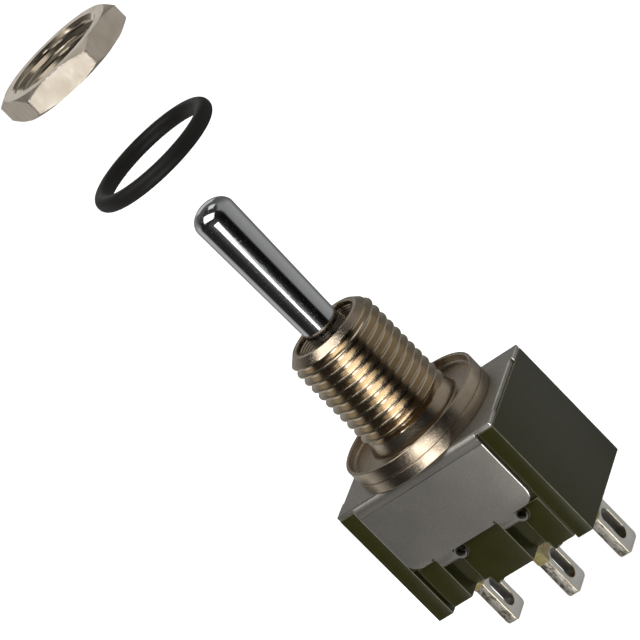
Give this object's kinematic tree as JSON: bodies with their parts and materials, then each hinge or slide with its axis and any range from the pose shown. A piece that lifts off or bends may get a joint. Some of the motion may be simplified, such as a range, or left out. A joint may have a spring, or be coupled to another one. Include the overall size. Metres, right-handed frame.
{
  "type": "panel toggle switch",
  "caption": "Miniature toggle switch with a threaded bushing, chromed lever, moulded case in a folded metal frame, solder lugs, panel seal and mounting nut.",
  "frame": {"origin": "on the bushing's axis at the panel seat, the plane of the seal cup's rim", "axes": "+Z along the bushing and the upright lever, away from the case; X along the row of terminals"},
  "size_m": [0.0128, 0.0102, 0.0467],
  "materials": {
    "case_moulding": "dark olive moulded thermoset, low sheen",
    "frame_steel": "fine-grained stainless sheet",
    "nickel": "warm bright nickel plate on turned brass",
    "chrome": "polished",
    "seal_rubber": "satin black",
    "laminate": "tan laminate",
    "plunger_resin": "natural moulded resin",
    "spring_wire": "drawn wire",
    "contact_brass": "stamped copper alloy",
    "silver": "silver contact, slightly dull",
    "terminal_plate": "silver plate, faintly yellowed at the edges",
    "sealant_resin": "cast resin, amber yellow"
  },
  "bodies": {
    "body": {"case": "case_moulding", "frame": "frame_steel", "bushing": "nickel", "stem_guide": "laminate", "terminal_common": "terminal_plate", "terminal_throw_a": "terminal_plate", "terminal_throw_b": "terminal_plate", "fixed_contact_a": "silver", "fixed_contact_b": "silver", "sealant_a": "sealant_resin", "sealant_b": "sealant_resin", "sealant_c": "sealant_resin"},
    "lever": {"toggle_lever": "chrome", "lever_seal": "seal_rubber", "plunger_spring": "spring_wire"},
    "plunger": {"plunger": "plunger_resin"},
    "rocker": {"rocker": "contact_brass", "rocker_contacts": "silver"},
    "seal": {"panel_seal": "seal_rubber"},
    "nut": {"mounting_nut": "nickel"}
  },
  "joints": [
    {"name": "lever_tilt", "type": "hinge", "parent": "body", "child": "lever", "pos_m": [0, 0, 0.00325], "axis": [0, 1, 0], "range_deg": [-12, 12]},
    {"name": "plunger_slide", "type": "slide", "parent": "lever", "child": "plunger", "axis": [0, 0, 1], "range_m": [0, 0.0004], "stiffness_N_per_m": 500, "deforming": ["plunger_spring"]},
    {"name": "rocker_tilt", "type": "hinge", "parent": "body", "child": "rocker", "pos_m": [0, 0, -0.00705], "axis": [0, 1, 0], "range_deg": [-6, 6]},
    {"name": "seal_slide", "type": "slide", "parent": "body", "child": "seal", "axis": [0, 0, 1], "range_m": [-0.0225, 0]},
    {"name": "nut_slide", "type": "slide", "parent": "body", "child": "nut", "axis": [0, 0, 1], "range_m": [-0.02815, 0]}
  ],
  "couplings": [
    {"joint": "rocker_tilt", "follows": "lever_tilt", "ratio": -0.5}
  ]
}
